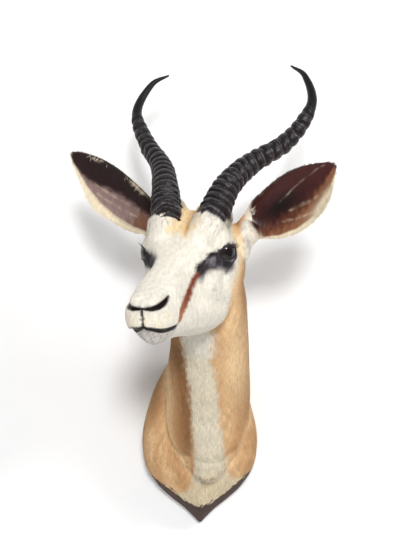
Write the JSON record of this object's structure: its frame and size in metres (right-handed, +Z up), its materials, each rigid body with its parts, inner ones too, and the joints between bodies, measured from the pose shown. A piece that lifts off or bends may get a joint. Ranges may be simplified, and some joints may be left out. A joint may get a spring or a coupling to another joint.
{
  "type": "springbok shoulder mount",
  "caption": "Springbok head, neck and shoulders mounted on a hidden board that hangs flat on a wall, with ringed lyre-shaped horns, spread ears and glass eyes.",
  "frame": {"origin": "on the back face of the board, where it lies on the wall", "axes": "+Z up the wall, +Y into the wall; the animal looks out along -Y with its nose turned towards -X, and its left side is at +X"},
  "size_m": [0.3329, 0.4817, 0.662],
  "materials": {
    "coat": "matte",
    "horn": "satin",
    "eye_glass": "gloss",
    "board_wood": "matte"
  },
  "bodies": {
    "root": {"cape": "coat", "left_horn": "horn", "right_horn": "horn", "left_eye": "eye_glass", "right_eye": "eye_glass", "backboard": "board_wood"}
  },
  "joints": []
}
